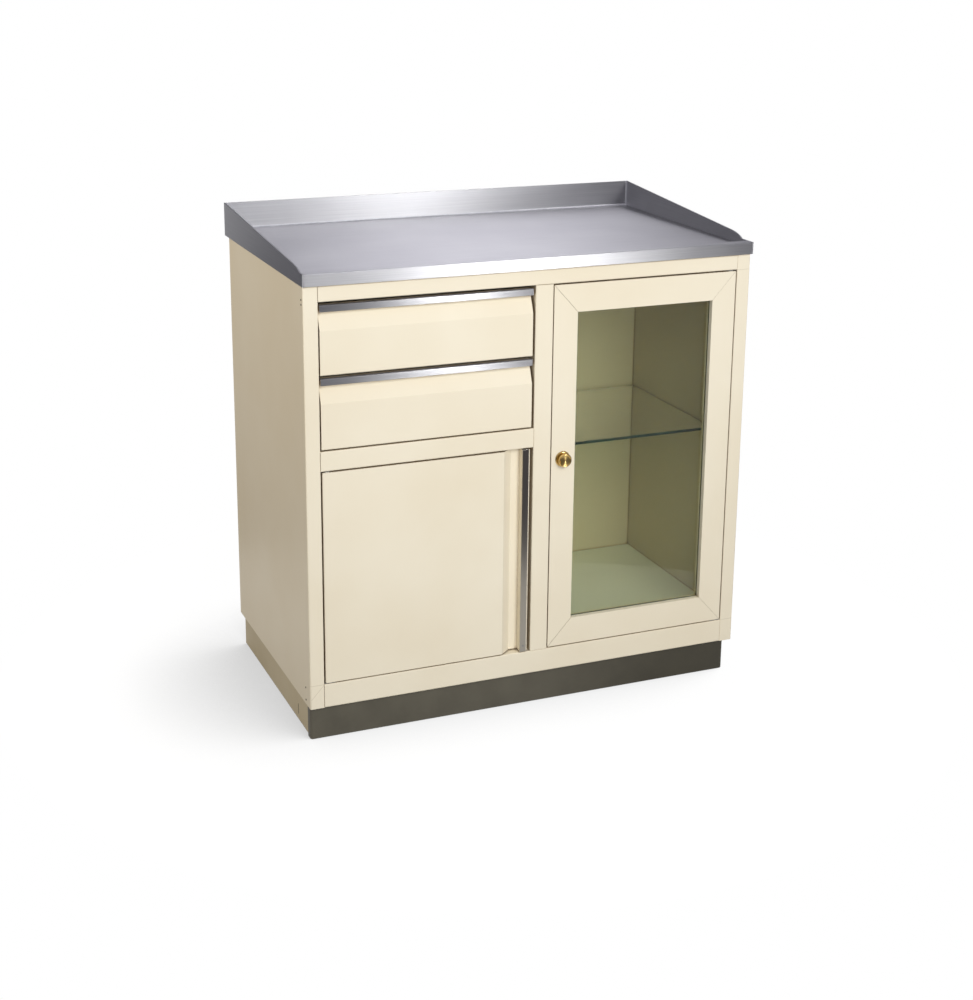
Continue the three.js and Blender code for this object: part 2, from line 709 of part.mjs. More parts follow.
function rosetteProfile() {
  const radius = ROSETTE_DIAMETER / 2;
  return [
    new THREE.Vector2(0, 0),
    new THREE.Vector2(radius, 0),
    new THREE.Vector2(radius, ROSETTE_THICKNESS - ROSETTE_CHAMFER),
    new THREE.Vector2(radius - ROSETTE_CHAMFER, ROSETTE_THICKNESS),
    new THREE.Vector2(0, ROSETTE_THICKNESS),
  ];
}

// A turned piece whose axis comes out of the door towards the front.
function turnedForward(profile) {
  return new THREE.LatheGeometry(profile, ROUND_SIDES).rotateX(Math.PI);
}

function glassDoor() {
  const group = new THREE.Group();
  const left = RIGHT_BAY_LEFT + GLASS_LATCH_GAP;
  const bottom = OPENING_BOTTOM + FRONT_GAP;
  group.position.set(left, 0, bottom);
  const width = BAY_RIGHT - HINGE_GAP - left;
  const height = OPENING_TOP - FRONT_GAP - bottom;
  const axis = width - PIVOT_EDGE;
  const holes = [bushHole(axis, 0, -1), bushHole(axis, height, 1)];
  const railBar = mitredBar(width, DOOR_RAIL_WIDTH, DOOR_STILE_WIDTH);
  const stileBar = mitredBar(height, DOOR_STILE_WIDTH, DOOR_RAIL_WIDTH);
  const turned = (bar, angle, x, z) => bar.clone().rotateY(angle).translate(x, 0, z);
  const members = {
    glass_door_bottom_rail: turned(railBar, 0, 0, 0),
    glass_door_top_rail: turned(railBar, Math.PI, width, height),
    glass_door_latch_stile: turned(stileBar, Math.PI / 2, 0, height),
    glass_door_hinge_stile: turned(stileBar, -Math.PI / 2, width, 0),
  };
  const sight = [DOOR_STILE_WIDTH, DOOR_RAIL_WIDTH, width - DOOR_STILE_WIDTH, height - DOOR_RAIL_WIDTH];
  const grown = (by) => [sight[0] - by, sight[1] - by, sight[2] + by, sight[3] + by];
  const pane = alongY(
    rectangle(...grown(REBATE - GLASS_EDGE_CLEARANCE)), GLASS_SETBACK, GLASS_SETBACK + GLASS_THICKNESS,
  );
  const beadShape = rectangle(...grown(REBATE - BEAD_CLEARANCE));
  beadShape.holes.push(rectangle(...sight));
  const bead = alongY(beadShape, GLASS_SETBACK + GLASS_THICKNESS, FRONT_THICKNESS);
  const knob = piece('knob', turnedForward(knobProfile()), brass);
  knob.position.set(KNOB_SIDE_INSET, -ROSETTE_THICKNESS, KNOB_HEIGHT - bottom);
  const rosette = piece('knob_rosette', turnedForward(rosetteProfile()), brass);
  rosette.position.set(KNOB_SIDE_INSET, 0, KNOB_HEIGHT - bottom);
  group.add(
    ...Object.entries(members).map(([name, bar]) => piece(name, cut(bar, ...holes), enamel)),
    piece('glass_pane', pane, glass),
    piece('glazing_bead', bead, enamel),
    bush('glass_door_lower_bush', axis, 0, -1),
    bush('glass_door_upper_bush', axis, height, 1),
    rosette,
    knob,
  );
  return group;
}

// Shelf, pivots and catches inside the body

function shelfClip(name, wall, side, y) {
  const underside = SHELF_TOP - SHELF_THICKNESS;
  const tip = wall - side * CLIP_LEDGE;
  const path = [[tip, underside], [wall, underside], [wall, underside - CLIP_RISE]];
  const section = side > 0 ? folded(path.reverse(), CLIP_THICKNESS) : folded(path, CLIP_THICKNESS);
  return piece(name, alongY(section, y, y + CLIP_LENGTH), plated);
}

function shelf() {
  const back = BACK_FACE - SHELF_BACK_GAP;
  const pane = block(
    PARTITION_RIGHT + SHELF_SIDE_GAP, INNER_SIDE - SHELF_SIDE_GAP,
    SHELF_FRONT_INSET, back, SHELF_TOP - SHELF_THICKNESS, SHELF_TOP,
  );
  const rows = { front: SHELF_FRONT_INSET + CLIP_INSET, back: back - CLIP_INSET - CLIP_LENGTH };
  const clips = Object.entries(rows).flatMap(([row, y]) => [
    shelfClip(`left_${row}_shelf_clip`, PARTITION_RIGHT, -1, y),
    shelfClip(`right_${row}_shelf_clip`, INNER_SIDE, 1, y),
  ]);
  return [piece('glass_shelf', pane, glass), ...clips];
}

function catchBlock(name, left, level) {
  const front = FRONT_THICKNESS + RUNNING_CLEARANCE;
  const chamfer = SHEET;
  const section = outline([
    [front, level],
    [front, level - CATCH_HEIGHT + chamfer],
    [front + chamfer, level - CATCH_HEIGHT],
    [front + CATCH_DEPTH - chamfer, level - CATCH_HEIGHT],
    [front + CATCH_DEPTH, level - CATCH_HEIGHT + chamfer],
    [front + CATCH_DEPTH, level],
  ]);
  return piece(name, alongX(section, left, left + CATCH_WIDTH), nylon);
}

function fittings() {
  const solidAxis = BAY_LEFT + HINGE_GAP + PIVOT_EDGE;
  const glassAxis = BAY_RIGHT - HINGE_GAP - PIVOT_EDGE;
  const solidLatch = BAY_SPLIT - LATCH_GAP - CATCH_INSET - CATCH_WIDTH;
  const glassLatch = RIGHT_BAY_LEFT + FRONT_GAP + CATCH_INSET;
  return [
    pivotBracket('solid_door_lower_pivot', solidAxis, OPENING_BOTTOM, 1, -1),
    pivotBracket('solid_door_upper_pivot', solidAxis, MID_RAIL_BOTTOM, -1, -1),
    pivotBracket('glass_door_lower_pivot', glassAxis, OPENING_BOTTOM, 1, 1),
    pivotBracket('glass_door_upper_pivot', glassAxis, OPENING_TOP, -1, 1),
    catchBlock('solid_door_catch', solidLatch, MID_RAIL_BOTTOM),
    catchBlock('glass_door_catch', glassLatch, OPENING_TOP),
  ];
}

// The whole cabinet

const cabinet = new THREE.Group();
cabinet.name = 'glass_door_medical_cabinet';
cabinet.position.y = -(TOP_BACK - KNOB_REACH) / 2;

const lowerBottom = MID_RAIL_TOP + FRONT_GAP;
const upperBottom = lowerBottom + LOWER_DRAWER_HEIGHT + DRAWER_TOP_GAP;
const upperHeight = OPENING_TOP - DRAWER_TOP_GAP - upperBottom;

const carcass = new THREE.Group();
const fixedPieces = [sidePanels, faceFrame, innerSheets, worktop, plinth, shelf, fittings];
carcass.add(...fixedPieces.flatMap((made) => made()));
for (const [name, bottom] of Object.entries({ upper: upperBottom, lower: lowerBottom })) {
  carcass.add(runner(`${name}_left_runner`, -1, -INNER_SIDE, bottom));
  carcass.add(runner(`${name}_right_runner`, 1, PARTITION_LEFT, bottom));
}

cabinet.add(
  carcass,
  drawer('upper_drawer', upperBottom, upperHeight),
  drawer('lower_drawer', lowerBottom, LOWER_DRAWER_HEIGHT),
  solidDoor(),
  glassDoor(),
);

export default cabinet;
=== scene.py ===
"""Looks of the clinic base cabinet: enamelled sheet steel, a brushed stainless tray top, a glazed door and a brass
knob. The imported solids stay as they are; the pieces added here are folds, welds, screws and turned parts on them."""

import json
import math

import bpy
import numpy as np
from mathutils import Matrix, Vector


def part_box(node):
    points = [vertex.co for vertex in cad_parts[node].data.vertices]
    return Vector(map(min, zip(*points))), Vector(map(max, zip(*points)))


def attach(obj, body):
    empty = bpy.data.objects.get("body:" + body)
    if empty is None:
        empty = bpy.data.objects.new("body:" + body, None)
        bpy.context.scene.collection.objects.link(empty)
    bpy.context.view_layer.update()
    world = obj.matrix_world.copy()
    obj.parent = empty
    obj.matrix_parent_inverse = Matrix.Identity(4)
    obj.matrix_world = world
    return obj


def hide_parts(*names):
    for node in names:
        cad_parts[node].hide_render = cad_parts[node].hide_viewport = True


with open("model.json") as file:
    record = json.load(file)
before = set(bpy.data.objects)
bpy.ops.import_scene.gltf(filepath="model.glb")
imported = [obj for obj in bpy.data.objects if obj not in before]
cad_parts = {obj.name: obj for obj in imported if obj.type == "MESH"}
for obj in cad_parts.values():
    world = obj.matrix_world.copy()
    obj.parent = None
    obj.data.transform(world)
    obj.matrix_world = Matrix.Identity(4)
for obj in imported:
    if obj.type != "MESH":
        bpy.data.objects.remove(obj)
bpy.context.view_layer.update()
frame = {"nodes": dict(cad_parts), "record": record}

MM = 0.001
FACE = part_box("top_rail")[0].y
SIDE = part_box("right_side_panel")[1].x
FORWARD, UP, OUT_TO_LEFT = (0, -1, 0), (0, 0, 1), (-1, 0, 0)


# Meshes

def mesh_piece(name, points, faces, body, materials, face_material=None, smooth=True):
    """A new object at the origin from a table of points in metres and a table of four-cornered faces."""
    mesh = bpy.data.meshes.new(name)
    mesh.from_pydata(points.tolist(), [], faces.tolist())
    for material in materials:
        mesh.materials.append(material)
    if face_material is not None:
        mesh.polygons.foreach_set("material_index", face_material.astype(np.int32))
    mesh.polygons.foreach_set("use_smooth", np.full(len(faces), smooth))
    mesh.update()
    piece = bpy.data.objects.new(name, mesh)
    bpy.context.scene.collection.objects.link(piece)
    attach(piece, body)
    return piece


def grid_faces(rows, columns, wrap_rows=False, wrap_columns=False):
    """Quads between neighbouring points of a rows by columns grid, closed on itself where asked."""
    i = np.arange(rows if wrap_rows else rows - 1)[:, None]
    j = np.arange(columns if wrap_columns else columns - 1)[None, :]
    i, j = np.broadcast_arrays(i, j)
    down, across = (i + 1) % rows, (j + 1) % columns
    corners = [i * columns + j, down * columns + j, down * columns + across, i * columns + across]
    return np.stack(corners, axis=-1).reshape(-1, 4)


def turned(profile, sides, centre, axis):
    """A profile of (radius, height) rows turned about an axis:
    point(i, t) = centre + r_i (cos t u + sin t v) + h_i axis."""
    axis = np.array(axis, float)
    u = np.array([axis[1], axis[2], axis[0]])
    v = np.cross(axis, u)
    angle = np.linspace(0, 2 * np.pi, sides, endpoint=False)
    ring = np.cos(angle)[:, None] * u + np.sin(angle)[:, None] * v
    radius, height = np.array(profile, float).T
    points = np.array(centre) + radius[:, None, None] * ring + height[:, None, None] * axis
    return points.reshape(-1, 3), grid_faces(len(radius), sides, wrap_columns=True)


def carried(section, start, end, u, v):
    """A closed section of (a, b) rows carried along a straight line, closed at both ends by shrinking to its middle:
    point(i, t) = start + t (end - start) + a_i u + b_i v."""
    section = np.array(section, float)
    middle = np.broadcast_to(section.mean(axis=0), section.shape)
    rows = [(start, middle), (start, section), (end, section), (end, middle)]
    u, v = np.array(u, float), np.array(v, float)
    points = [np.array(at) + s[:, :1] * u + s[:, 1:] * v for at, s in rows]
    return np.concatenate(points), grid_faces(len(rows), len(section), wrap_columns=True)


def rounded_slab(low, high, radius, steps=4):
    """A flat slab with rounded rims: an outline with round corners at each height of a half-round rim, closed top and
    bottom by shrinking to the middle: point(i, t) = middle + reach_i + corner_i (cos t, sin t), at level_i. The last
    value is the number of points in an outline."""
    (x0, y0, z0), (x1, y1, z1) = low, high
    bend = np.linspace(-np.pi / 2, np.pi / 2, 2 * steps + 1)
    to_middle = [0.5 * min(x1 - x0, y1 - y0)]
    inset = np.concatenate([to_middle, radius * (1 - np.cos(bend)), to_middle])
    middle = np.where(bend < 0, z0 + radius, z1 - radius)
    level = np.concatenate([[z0], middle + radius * np.sin(bend), [z1]])
    corner = 2 * radius
    around = 4 * (steps + 1)
    turn = np.linspace(0, 2 * np.pi, around, endpoint=False) + np.pi / around
    sx, sy = np.sign(np.cos(turn)), np.sign(np.sin(turn))
    cx, cy = (x0 + x1) / 2, (y0 + y1) / 2
    shrink = np.minimum(inset, corner)[:, None]
    reach_x = (x1 - x0) / 2 - inset[:, None] - (corner - shrink)
    reach_y = (y1 - y0) / 2 - inset[:, None] - (corner - shrink)
    px = cx + sx * np.maximum(reach_x, 0) + (corner - shrink) * np.cos(turn)
    py = cy + sy * np.maximum(reach_y, 0) + (corner - shrink) * np.sin(turn)
    pz = np.broadcast_to(level[:, None], px.shape)
    points = np.stack([px, py, pz], axis=-1).reshape(-1, 3)
    return points, grid_faces(len(level), around, wrap_columns=True), around


# Materials

def hex_linear(code):
    """An sRGB hex colour as linear red, green, blue and alpha 1."""
    share = np.array([int(code[i:i + 2], 16) for i in (1, 3, 5)]) / 255
    linear = np.where(share <= 0.04045, share / 12.92, ((share + 0.055) / 1.055) ** 2.4)
    return (*linear.tolist(), 1.0)


def node(tree, kind, inputs=None, **settings):
    """Adds one node with its settings, and sets or links each named input."""
    made = tree.nodes.new("ShaderNode" + kind)
    for key, value in settings.items():
        setattr(made, key, value)
    for key, value in (inputs or {}).items():
        if isinstance(value, bpy.types.NodeSocket):
            tree.links.new(value, made.inputs[key])
        else:
            made.inputs[key].default_value = value
    return made


def new_material(name):
    """An empty material and its node tree."""
    material = bpy.data.materials.new(name)
    material.use_nodes = True
    material.node_tree.nodes.clear()
    return material, material.node_tree


def per_mm(size):
    """The noise scale, in features a metre, for features of this many millimetres."""
    return 1 / (size * MM)


# The first and third colours are browns mixed in where ambient occlusion finds hollows: painted shade as well as dirt.
DIRT_AND_SHADE, SEAM_SHADE, GRIME_AND_SHADE, DUST = "#8a6a36", "#8f7c55", "#4a3716", "#b4c4ae"
DIRT_AND_SHADE_REACH, GRIME_AND_SHADE_REACH = 10 * MM, 9 * MM
SEAM_CORE, SEAM_EDGE, SEAM_STRENGTH = 0.3 * MM, 0.9 * MM, 0.25
SIDE_SKIN = 0.6 * MM  # further in than this, a side's sheet shows its inner face
STILE_DEPTH = 26 * MM  # further back than this, the front stile and its return have ended
FRONT_SKIN = 2.5 * MM  # nearer than this to the front plane, a surface is part of the face frame
QUARTER_TURN = 0.25  # turns a highlight from along the scratches to across them


def stove_enamel(name, light, dark, seams=(), inside=None):
    """Stove enamel on sheet steel, sprayed and baked: a satin cream coat, faintly uneven in tone, with a fine orange
    peel. Near joints, gaps and recesses ambient occlusion turns it brown: dirt, and painted shade. Seams are filled
    joints in the front face that show as hairlines, each given by the x and z of its two ends in mm: the line's
    strength falls with the distance from that stretch. The face of a side that looks into the cabinet may be
    multiplied by a darker tint there: painted shade inside the cabinet."""
    material, tree = new_material(name)
    place = node(tree, "TexCoord").outputs["Object"]
    cloud = node(tree, "TexNoise", {"Vector": place, "Scale": per_mm(260), "Detail": 3.0})
    tone = node(tree, "MapRange", {"Value": cloud.outputs[0], "From Min": 0.3, "From Max": 0.7})
    coat = node(tree, "MixRGB", {"Fac": tone.outputs[0], "Color1": hex_linear(light), "Color2": hex_linear(dark)})
    # Painted shade and dirt: within a short reach of joints, gaps and recesses, ambient occlusion mixes in brown.
    corner = node(tree, "AmbientOcclusion", {"Distance": DIRT_AND_SHADE_REACH}, samples=4)
    settled_and_shaded = node(tree, "MapRange", {
        "Value": corner.outputs["AO"], "From Min": 0.2, "From Max": 0.72, "To Min": 0.85, "To Max": 0.0,
    })
    dirty_and_shaded = node(tree, "MixRGB", {"Fac": settled_and_shaded.outputs[0], "Color1": coat.outputs[0], "Color2": hex_linear(DIRT_AND_SHADE)})
    colour = dirty_and_shaded.outputs[0]
    axes = node(tree, "SeparateXYZ", {"Vector": place}).outputs
    # Painted shade: a side's inner face, behind the stile, is multiplied by the darker tint given as inside.
    if inside:
        half = node(tree, "Math", {0: axes[0]}, operation="ABSOLUTE")
        inner = node(tree, "Math", {0: half.outputs[0], 1: SIDE - SIDE_SKIN}, operation="LESS_THAN")
        behind = node(tree, "Math", {0: axes[1], 1: FACE + STILE_DEPTH}, operation="GREATER_THAN")
        both = node(tree, "Math", {0: inner.outputs[0], 1: behind.outputs[0]}, operation="MULTIPLY")
        painted_inner_shade = {"Fac": both.outputs[0], "Color1": colour, "Color2": hex_linear(inside)}
        colour = node(tree, "MixRGB", painted_inner_shade, blend_type="MULTIPLY").outputs[0]
    front = node(tree, "Math", {0: axes[1], 1: FACE + FRONT_SKIN}, operation="LESS_THAN")
    for x0, z0, x1, z1 in seams:
        run = Vector((x1 - x0, 0, z1 - z0)) * MM
        flat = node(tree, "VectorMath", {0: place, 1: (1, 0, 1)}, operation="MULTIPLY")
        start = node(tree, "VectorMath", {0: flat.outputs[0], 1: Vector((x0, 0, z0)) * MM}, operation="SUBTRACT")
        share = node(tree, "VectorMath", {0: start.outputs[0], 1: run / run.length_squared}, operation="DOT_PRODUCT")
        held = node(tree, "Clamp", {"Value": share.outputs["Value"]})
        foot = node(tree, "VectorMath", {0: run, "Scale": held.outputs[0]}, operation="SCALE")
        away = node(tree, "VectorMath", {0: start.outputs[0], 1: foot.outputs[0]}, operation="DISTANCE")
        line = node(tree, "MapRange", {
            "Value": away.outputs["Value"], "From Min": SEAM_CORE, "From Max": SEAM_EDGE, "To Min": SEAM_STRENGTH,
            "To Max": 0.0,
        })
        drawn = node(tree, "Math", {0: line.outputs[0], 1: front.outputs[0]}, operation="MULTIPLY")
        hairline = {"Fac": drawn.outputs[0], "Color1": colour, "Color2": hex_linear(SEAM_SHADE)}
        colour = node(tree, "MixRGB", hairline).outputs[0]
    peel = node(tree, "TexNoise", {"Vector": place, "Scale": per_mm(5), "Detail": 1.0})
    skin = node(tree, "Bump", {"Height": peel.outputs[0], "Strength": 0.06, "Distance": 0.2 * MM})
    sheen = node(tree, "MapRange", {"Value": cloud.outputs[0], "To Min": 0.36, "To Max": 0.46})
    paint = node(tree, "BsdfPrincipled", {
        "Base Color": colour, "Roughness": sheen.outputs[0], "Normal": skin.outputs[0], "IOR": 1.5,
    })
    node(tree, "OutputMaterial", {"Surface": paint.outputs[0]})
    return material


def brushed_stainless(name, grain, light, dark, smooth, rough, lay):
    """Stainless sheet with a belt-brushed finish: grey metal whose fine scratches run one way, so highlights spread
    across them. Real scratches are about 0.05 mm apart; these are 1.5 mm apart, as fine as the picture can show."""
    material, tree = new_material(name)
    place = node(tree, "TexCoord").outputs["Object"]
    along, across = per_mm(160), per_mm(1.5)
    stretch = [along if axis == grain else across for axis in "XYZ"]
    lined = node(tree, "Mapping", {"Vector": place, "Scale": stretch})
    scratch = node(tree, "TexNoise", {"Vector": lined.outputs[0], "Scale": 1.0, "Detail": 2.0})
    cloud = node(tree, "TexNoise", {"Vector": place, "Scale": per_mm(180), "Detail": 2.0})
    both = node(tree, "Math", {0: scratch.outputs[0], 1: cloud.outputs[0]}, operation="ADD")
    usual = {"Value": both.outputs[0], "From Min": 0.7, "From Max": 1.3}
    share = node(tree, "MapRange", usual)
    metal = node(tree, "MixRGB", {"Fac": share.outputs[0], "Color1": hex_linear(dark), "Color2": hex_linear(light)})
    worn = node(tree, "MapRange", {**usual, "To Min": smooth, "To Max": rough})
    groove = node(tree, "Bump", {"Height": scratch.outputs[0], "Strength": 0.12, "Distance": 0.05 * MM})
    lie = node(tree, "CombineXYZ", {axis: float(axis == grain) for axis in "XYZ"})
    steel = node(tree, "BsdfPrincipled", {
        "Base Color": metal.outputs[0], "Metallic": 1.0, "Roughness": worn.outputs[0], "Anisotropic": lay,
        "Anisotropic Rotation": QUARTER_TURN, "Tangent": lie.outputs[0], "Normal": groove.outputs[0],
    })
    node(tree, "OutputMaterial", {"Surface": steel.outputs[0]})
    return material


def bare_or_plated_metal(name, light, dark, roughness, spot):
    """Polished or plated steel: a metallic skin with slow changes of tone and polish over spots of a size in mm."""
    material, tree = new_material(name)
    place = node(tree, "TexCoord").outputs["Object"]
    cloud = node(tree, "TexNoise", {"Vector": place, "Scale": per_mm(spot), "Detail": 4.0})
    share = node(tree, "MapRange", {"Value": cloud.outputs[0], "From Min": 0.35, "From Max": 0.65})
    skin = node(tree, "MixRGB", {"Fac": share.outputs[0], "Color1": hex_linear(dark), "Color2": hex_linear(light)})
    polish = node(tree, "MapRange", {"Value": cloud.outputs[0], "To Min": roughness * 0.8, "To Max": roughness * 1.25})
    metal = node(tree, "BsdfPrincipled", {
        "Base Color": skin.outputs[0], "Metallic": 1.0, "Roughness": polish.outputs[0],
    })
    node(tree, "OutputMaterial", {"Surface": metal.outputs[0]})
    return material


def turned_brass(name, light, dark, roughness, centre):
    """Polished brass off the lathe: fine rings round the axis that runs front to back through the centre, so a
    highlight draws out into a bow tie across the face, bright where hands have worn it, and darkened brown in the
    hollows by ambient occlusion: dirt, and painted shade."""
    material, tree = new_material(name)
    place = node(tree, "TexCoord").outputs["Object"]
    cloud = node(tree, "TexNoise", {"Vector": place, "Scale": per_mm(9), "Detail": 4.0})
    share = node(tree, "MapRange", {"Value": cloud.outputs[0], "From Min": 0.35, "From Max": 0.65})
    skin = node(tree, "MixRGB", {"Fac": share.outputs[0], "Color1": hex_linear(dark), "Color2": hex_linear(light)})
    # Painted shade and dirt: ambient occlusion browns the hollows, such as the neck behind the head.
    hollow = node(tree, "AmbientOcclusion", {"Distance": GRIME_AND_SHADE_REACH}, samples=4)
    grime_and_shade_share = node(tree, "MapRange", {
        "Value": hollow.outputs["AO"], "From Min": 0.3, "From Max": 0.8, "To Min": 0.85, "To Max": 0.0,
    })
    aged_and_shaded = node(tree, "MixRGB", {"Fac": grime_and_shade_share.outputs[0], "Color1": skin.outputs[0], "Color2": hex_linear(GRIME_AND_SHADE)})
    outward = node(tree, "VectorMath", {0: place, 1: centre}, operation="SUBTRACT")
    ring = node(tree, "VectorMath", {0: outward.outputs[0], 1: (0, 1, 0)}, operation="CROSS_PRODUCT")
    metal = node(tree, "BsdfPrincipled", {
        "Base Color": aged_and_shaded.outputs[0], "Metallic": 1.0, "Roughness": roughness, "Anisotropic": 0.78,
        "Anisotropic Rotation": QUARTER_TURN, "Tangent": ring.outputs[0],
    })
    node(tree, "OutputMaterial", {"Surface": metal.outputs[0]})
    return material


def float_glass(name, tint, dust=0.0):
    """Clear float glass: iron in the melt gives a green cast, and dust a pale veil. Lamps shine straight through it,
    tinted."""
    material, tree = new_material(name)
    place = node(tree, "TexCoord").outputs["Object"]
    wave = node(tree, "TexNoise", {"Vector": place, "Scale": per_mm(120), "Detail": 1.0})
    drawn = node(tree, "Bump", {"Height": wave.outputs[0], "Strength": 0.05, "Distance": 0.3 * MM})
    pane = node(tree, "BsdfPrincipled", {
        "Base Color": hex_linear(tint), "Roughness": 0.02, "IOR": 1.52, "Transmission Weight": 1.0,
        "Normal": drawn.outputs[0],
    })
    through = node(tree, "BsdfTransparent", {"Color": hex_linear(tint)})
    veil = node(tree, "BsdfDiffuse", {"Color": hex_linear(DUST)})
    dusty = node(tree, "MixShader", {"Fac": dust, 1: pane.outputs[0], 2: veil.outputs[0]})
    lamp = node(tree, "LightPath").outputs["Is Shadow Ray"]
    mixed = node(tree, "MixShader", {"Fac": lamp, 1: dusty.outputs[0], 2: through.outputs[0]})
    node(tree, "OutputMaterial", {"Surface": mixed.outputs[0]})
    return material


def plain_coat(name, light, dark, roughness, spot, bump=0.05, stretch=(1.0, 1.0, 1.0), specular=0.5, painted_shade_end=None):
    """A moulded, rolled or sawn surface: one colour with slow changes of tone, and a grain of the given size in mm.
    Where asked, a tint darkens it towards its right end, from one x in mm to another: painted shade."""
    material, tree = new_material(name)
    place = node(tree, "TexCoord").outputs["Object"]
    lie = node(tree, "Mapping", {"Vector": place, "Scale": stretch})
    grain = node(tree, "TexNoise", {"Vector": lie.outputs[0], "Scale": per_mm(spot), "Detail": 5.0})
    share = node(tree, "MapRange", {"Value": grain.outputs[0], "From Min": 0.3, "From Max": 0.7})
    skin = node(tree, "MixRGB", {"Fac": share.outputs[0], "Color1": hex_linear(dark), "Color2": hex_linear(light)})
    colour = skin.outputs[0]
    # Painted shade: a tint darkens the surface towards its right end.
    if painted_shade_end:
        start, end, tint = painted_shade_end
        x = node(tree, "SeparateXYZ", {"Vector": place}).outputs[0]
        stretch_of_shade = {"Value": x, "From Min": start * MM, "From Max": end * MM}
        shade_share = node(tree, "MapRange", stretch_of_shade, interpolation_type="SMOOTHSTEP")
        darker = {"Fac": shade_share.outputs[0], "Color1": colour, "Color2": hex_linear(tint)}
        colour = node(tree, "MixRGB", darker, blend_type="MULTIPLY").outputs[0]
    dull = node(tree, "MapRange", {"Value": grain.outputs[0], "To Min": roughness * 0.9, "To Max": roughness * 1.1})
    rise = node(tree, "Bump", {"Height": grain.outputs[0], "Strength": bump, "Distance": 0.3 * MM})
    coat = node(tree, "BsdfPrincipled", {
        "Base Color": colour, "Roughness": dull.outputs[0], "Normal": rise.outputs[0],
        "Specular IOR Level": specular,
    })
    node(tree, "OutputMaterial", {"Surface": coat.outputs[0]})
    return material


ENAMEL_LIGHT, ENAMEL_DARK = "#f3ead5", "#ede2ca"
enamel = stove_enamel("cream_stove_enamel", ENAMEL_LIGHT, ENAMEL_DARK)
LEFT_SEAMS = [(-457, 114, -428, 114), (-428.5, 114, -455, 85)]
RIGHT_SEAMS = [(428, 114, 457, 114), (428, 853.5, 457, 853.5)]
left_enamel = stove_enamel("cream_stove_enamel_left_joints", ENAMEL_LIGHT, ENAMEL_DARK, LEFT_SEAMS)
# Its inner face is multiplied by a darker tint: painted shade inside the cabinet.
right_enamel = stove_enamel(
    "cream_stove_enamel_right_joints", ENAMEL_LIGHT, ENAMEL_DARK, RIGHT_SEAMS, inside="#d6d0be",
)
# Darker cream for the plinth: scuffing, and painted shade under the body's overhang.
scuffed_and_shaded_enamel = stove_enamel("cream_stove_enamel_scuffed_and_shaded_base", "#d3c6a6", "#c0b18d")
# Darker cream for the walls inside and a paler one for the floor inside: painted shade and painted light.
shaded_interior_enamel = stove_enamel("cream_stove_enamel_painted_shade_interior", "#e0d4b8", "#d8cbad")
lit_floor_enamel = stove_enamel("pale_stove_enamel_painted_light_floor", "#f8faea", "#f1f3e2")
STEEL_LIGHT, STEEL_DARK = "#d8d8da", "#cacacd"
SHEET_BRUSHING = {"smooth": 0.37, "rough": 0.43, "lay": 0.95}
steel_x = brushed_stainless("brushed_stainless_along_x", "X", STEEL_LIGHT, STEEL_DARK, **SHEET_BRUSHING)
steel_y = brushed_stainless("brushed_stainless_along_y", "Y", STEEL_LIGHT, STEEL_DARK, **SHEET_BRUSHING)
trim_x = brushed_stainless("satin_stainless_trim_along_x", "X", "#b6b6b8", "#a7a7aa", smooth=0.29, rough=0.34, lay=1.0)
# The door trim is tinted warm: a painted warm reflection of the cream round it.
trim_z_painted_warm = brushed_stainless("satin_stainless_trim_along_z_painted_warm", "Z", "#c6c0b6", "#b8b2a7", smooth=0.36, rough=0.42, lay=1.0)
# Lighter than the sheet it sits on, so folds and welds show as bright lines: a painted highlight as well as polish.
polish_and_painted_highlight = bare_or_plated_metal("stainless_polished_and_painted_lighter_at_the_welds", "#eeeef1", "#e0e0e4", roughness=0.45, spot=14)
zinc = bare_or_plated_metal("zinc_plated_steel", "#b4b5b6", "#9c9da0", roughness=0.38, spot=40)
plate_low, plate_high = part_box("knob_rosette")
KNOB_CENTRE = ((plate_low.x + plate_high.x) / 2, plate_high.y, (plate_low.z + plate_high.z) / 2)
brass = turned_brass("polished_aged_brass", "#f6d68f", "#e2bd74", roughness=0.27, centre=KNOB_CENTRE)
glass = float_glass("clear_float_glass", "#d6d9cc")
shelf_glass = float_glass("green_float_glass_shelf", "#bad0b8", dust=0.06)
# A cut edge of thick glass: looked at end on, its green is so deep that it reads as a dark line.
glass_edge = plain_coat("cut_glass_edge", "#113530", "#0a2420", roughness=0.5, spot=30, bump=0.0, specular=0.1)
# Rolled vinyl: a dull grey-brown strip, darker towards its right end as painted shade.
KICK_PAINTED_SHADE = (-20, 350, "#b9b6ac")
vinyl = plain_coat("kick_strip_vinyl", "#5d594d", "#524e43", roughness=0.42, spot=60, painted_shade_end=KICK_PAINTED_SHADE)
# Sawn plywood: a dry, matt brown with its grain drawn out along the board.
GRAIN_ALONG_X = (0.1, 1.0, 1.0)
plywood = plain_coat("bare_plywood", "#b08e63", "#8f6d45", roughness=0.8, spot=9, bump=0.3, stretch=GRAIN_ALONG_X)
# Moulded nylon: an even off-white with a soft sheen.
nylon = plain_coat("moulded_nylon", "#dedbd0", "#d2cec2", roughness=0.5, spot=12)
# Nearly black and matt: the dark inside a hole, painted as a colour. The slot's cover and the side screws wear it.
hole_shade_colour = plain_coat("painted_hole_shade", "#4a4234", "#322c22", roughness=0.8, spot=6)

